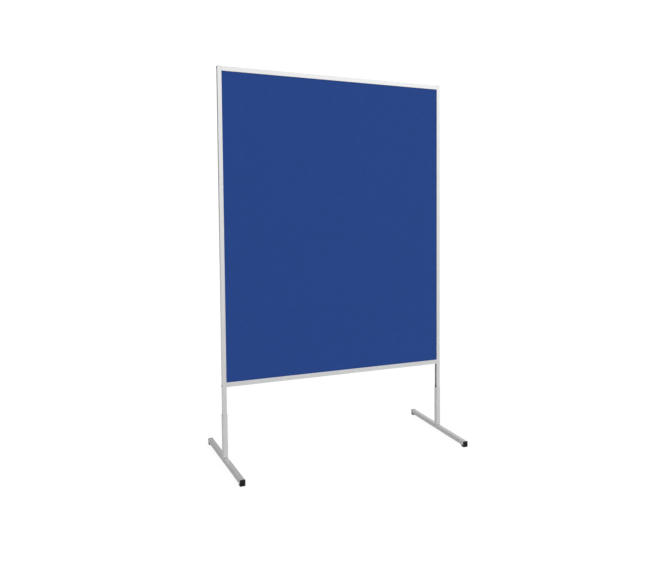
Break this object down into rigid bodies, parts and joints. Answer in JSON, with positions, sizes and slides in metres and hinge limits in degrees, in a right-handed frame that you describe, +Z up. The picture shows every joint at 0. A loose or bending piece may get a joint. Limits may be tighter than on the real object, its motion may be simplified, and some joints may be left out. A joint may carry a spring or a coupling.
{
  "type": "moderation board",
  "caption": "Free-standing double-sided felt pin board in a slim silver frame, whose side posts run down as legs and plug into T-shaped feet.",
  "frame": {"origin": "on the floor, midway between the two feet, under the middle of the board", "axes": "+X to the right along the board, -Y out of the front face, +Z up"},
  "size_m": [1.2322, 0.5626, 1.867],
  "materials": {
    "frame_aluminium": "satin anodised, drawn lengthwise",
    "silver_coating": "fine silver-grey powder coating",
    "blue_felt": "matt needle felt",
    "soft_fibreboard": "raw soft fibreboard",
    "black_plastic": "moulded, fine grain",
    "grey_plastic": "moulded, silver grey",
    "connector_plastic": "glass-filled nylon",
    "dark_screw": "black zinc"
  },
  "bodies": {
    "left_foot": {"left_foot_tube": "silver_coating", "left_sleeve": "silver_coating", "left_welds": "silver_coating", "left_front_cap": "black_plastic", "left_back_cap": "black_plastic", "left_lock_nut": "silver_coating", "left_lock_screw": "dark_screw"},
    "board": {"left_post": "frame_aluminium", "right_post": "frame_aluminium", "top_rail": "frame_aluminium", "bottom_rail": "frame_aluminium", "top_left_connector": "connector_plastic", "top_right_connector": "connector_plastic", "bottom_left_connector": "connector_plastic", "bottom_right_connector": "connector_plastic", "frame_screws": "dark_screw", "left_post_cap": "grey_plastic", "right_post_cap": "grey_plastic", "left_post_plug": "black_plastic", "right_post_plug": "black_plastic", "panel_core": "soft_fibreboard", "front_felt": "blue_felt", "back_felt": "blue_felt"},
    "right_foot": {"right_foot_tube": "silver_coating", "right_sleeve": "silver_coating", "right_welds": "silver_coating", "right_front_cap": "black_plastic", "right_back_cap": "black_plastic", "right_lock_nut": "silver_coating", "right_lock_screw": "dark_screw"}
  },
  "joints": [
    {"name": "board_lift", "type": "slide", "parent": "left_foot", "child": "board", "axis": [0, 0, 1], "range_m": [0, 0.21]},
    {"name": "right_foot_slide", "type": "slide", "parent": "board", "child": "right_foot", "axis": [0, 0, -1], "range_m": [0, 0.21]}
  ],
  "couplings": [
    {"joint": "right_foot_slide", "follows": "board_lift", "ratio": 1}
  ]
}
